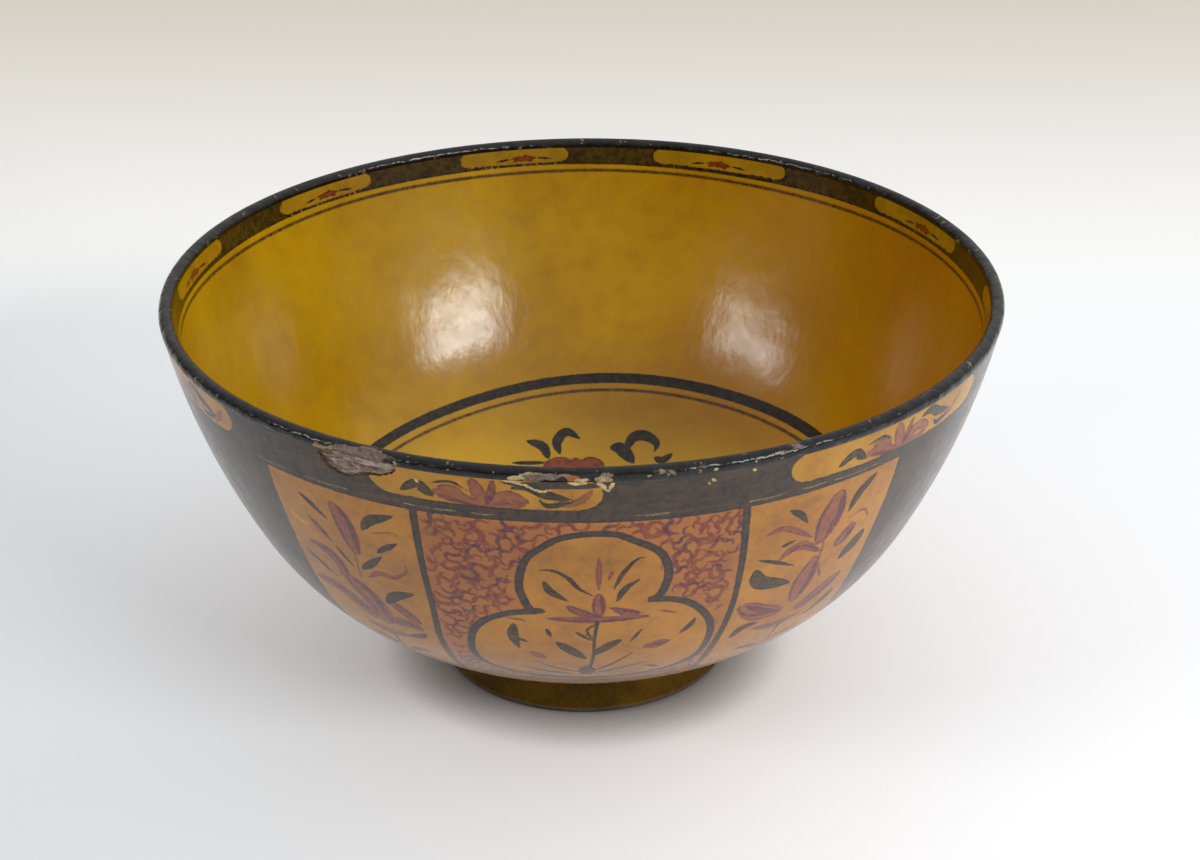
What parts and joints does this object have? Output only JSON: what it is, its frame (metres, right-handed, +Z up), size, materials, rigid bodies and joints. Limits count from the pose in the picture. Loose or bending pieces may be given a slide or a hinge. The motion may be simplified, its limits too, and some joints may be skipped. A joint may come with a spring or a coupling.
{
  "type": "bowl",
  "caption": "Round footed papier-mache bowl, lacquered ochre inside, painted flower panels outside, with a black bead round the worn rim.",
  "frame": {"origin": "centre of the foot's underside, on the surface that the bowl stands on", "axes": "+Z up along the axis that the bowl is turned about; -Y towards the front panel with the large three-lobed medallion"},
  "size_m": [0.205, 0.2049, 0.1024],
  "materials": {
    "paper": "matt laminated paper, torn fibres where it is bare",
    "chalk_ground": "matt chalk and glue ground",
    "painted_lacquer": "glossy aged lacquer over painted flowers on ochre",
    "ochre_lacquer": "glossy mottled golden ochre lacquer",
    "black_lacquer": "glossy black lacquer, worn and specked",
    "brown_lacquer": "dull olive brown lacquer"
  },
  "bodies": {
    "root": {"paper_wall": "paper", "outer_ground": "chalk_ground", "outer_lacquer": "painted_lacquer", "inner_ground": "chalk_ground", "inner_lacquer": "ochre_lacquer", "rim_bead": "black_lacquer", "foot_ring": "paper", "foot_lacquer": "brown_lacquer", "recess_coat": "brown_lacquer"}
  },
  "joints": []
}
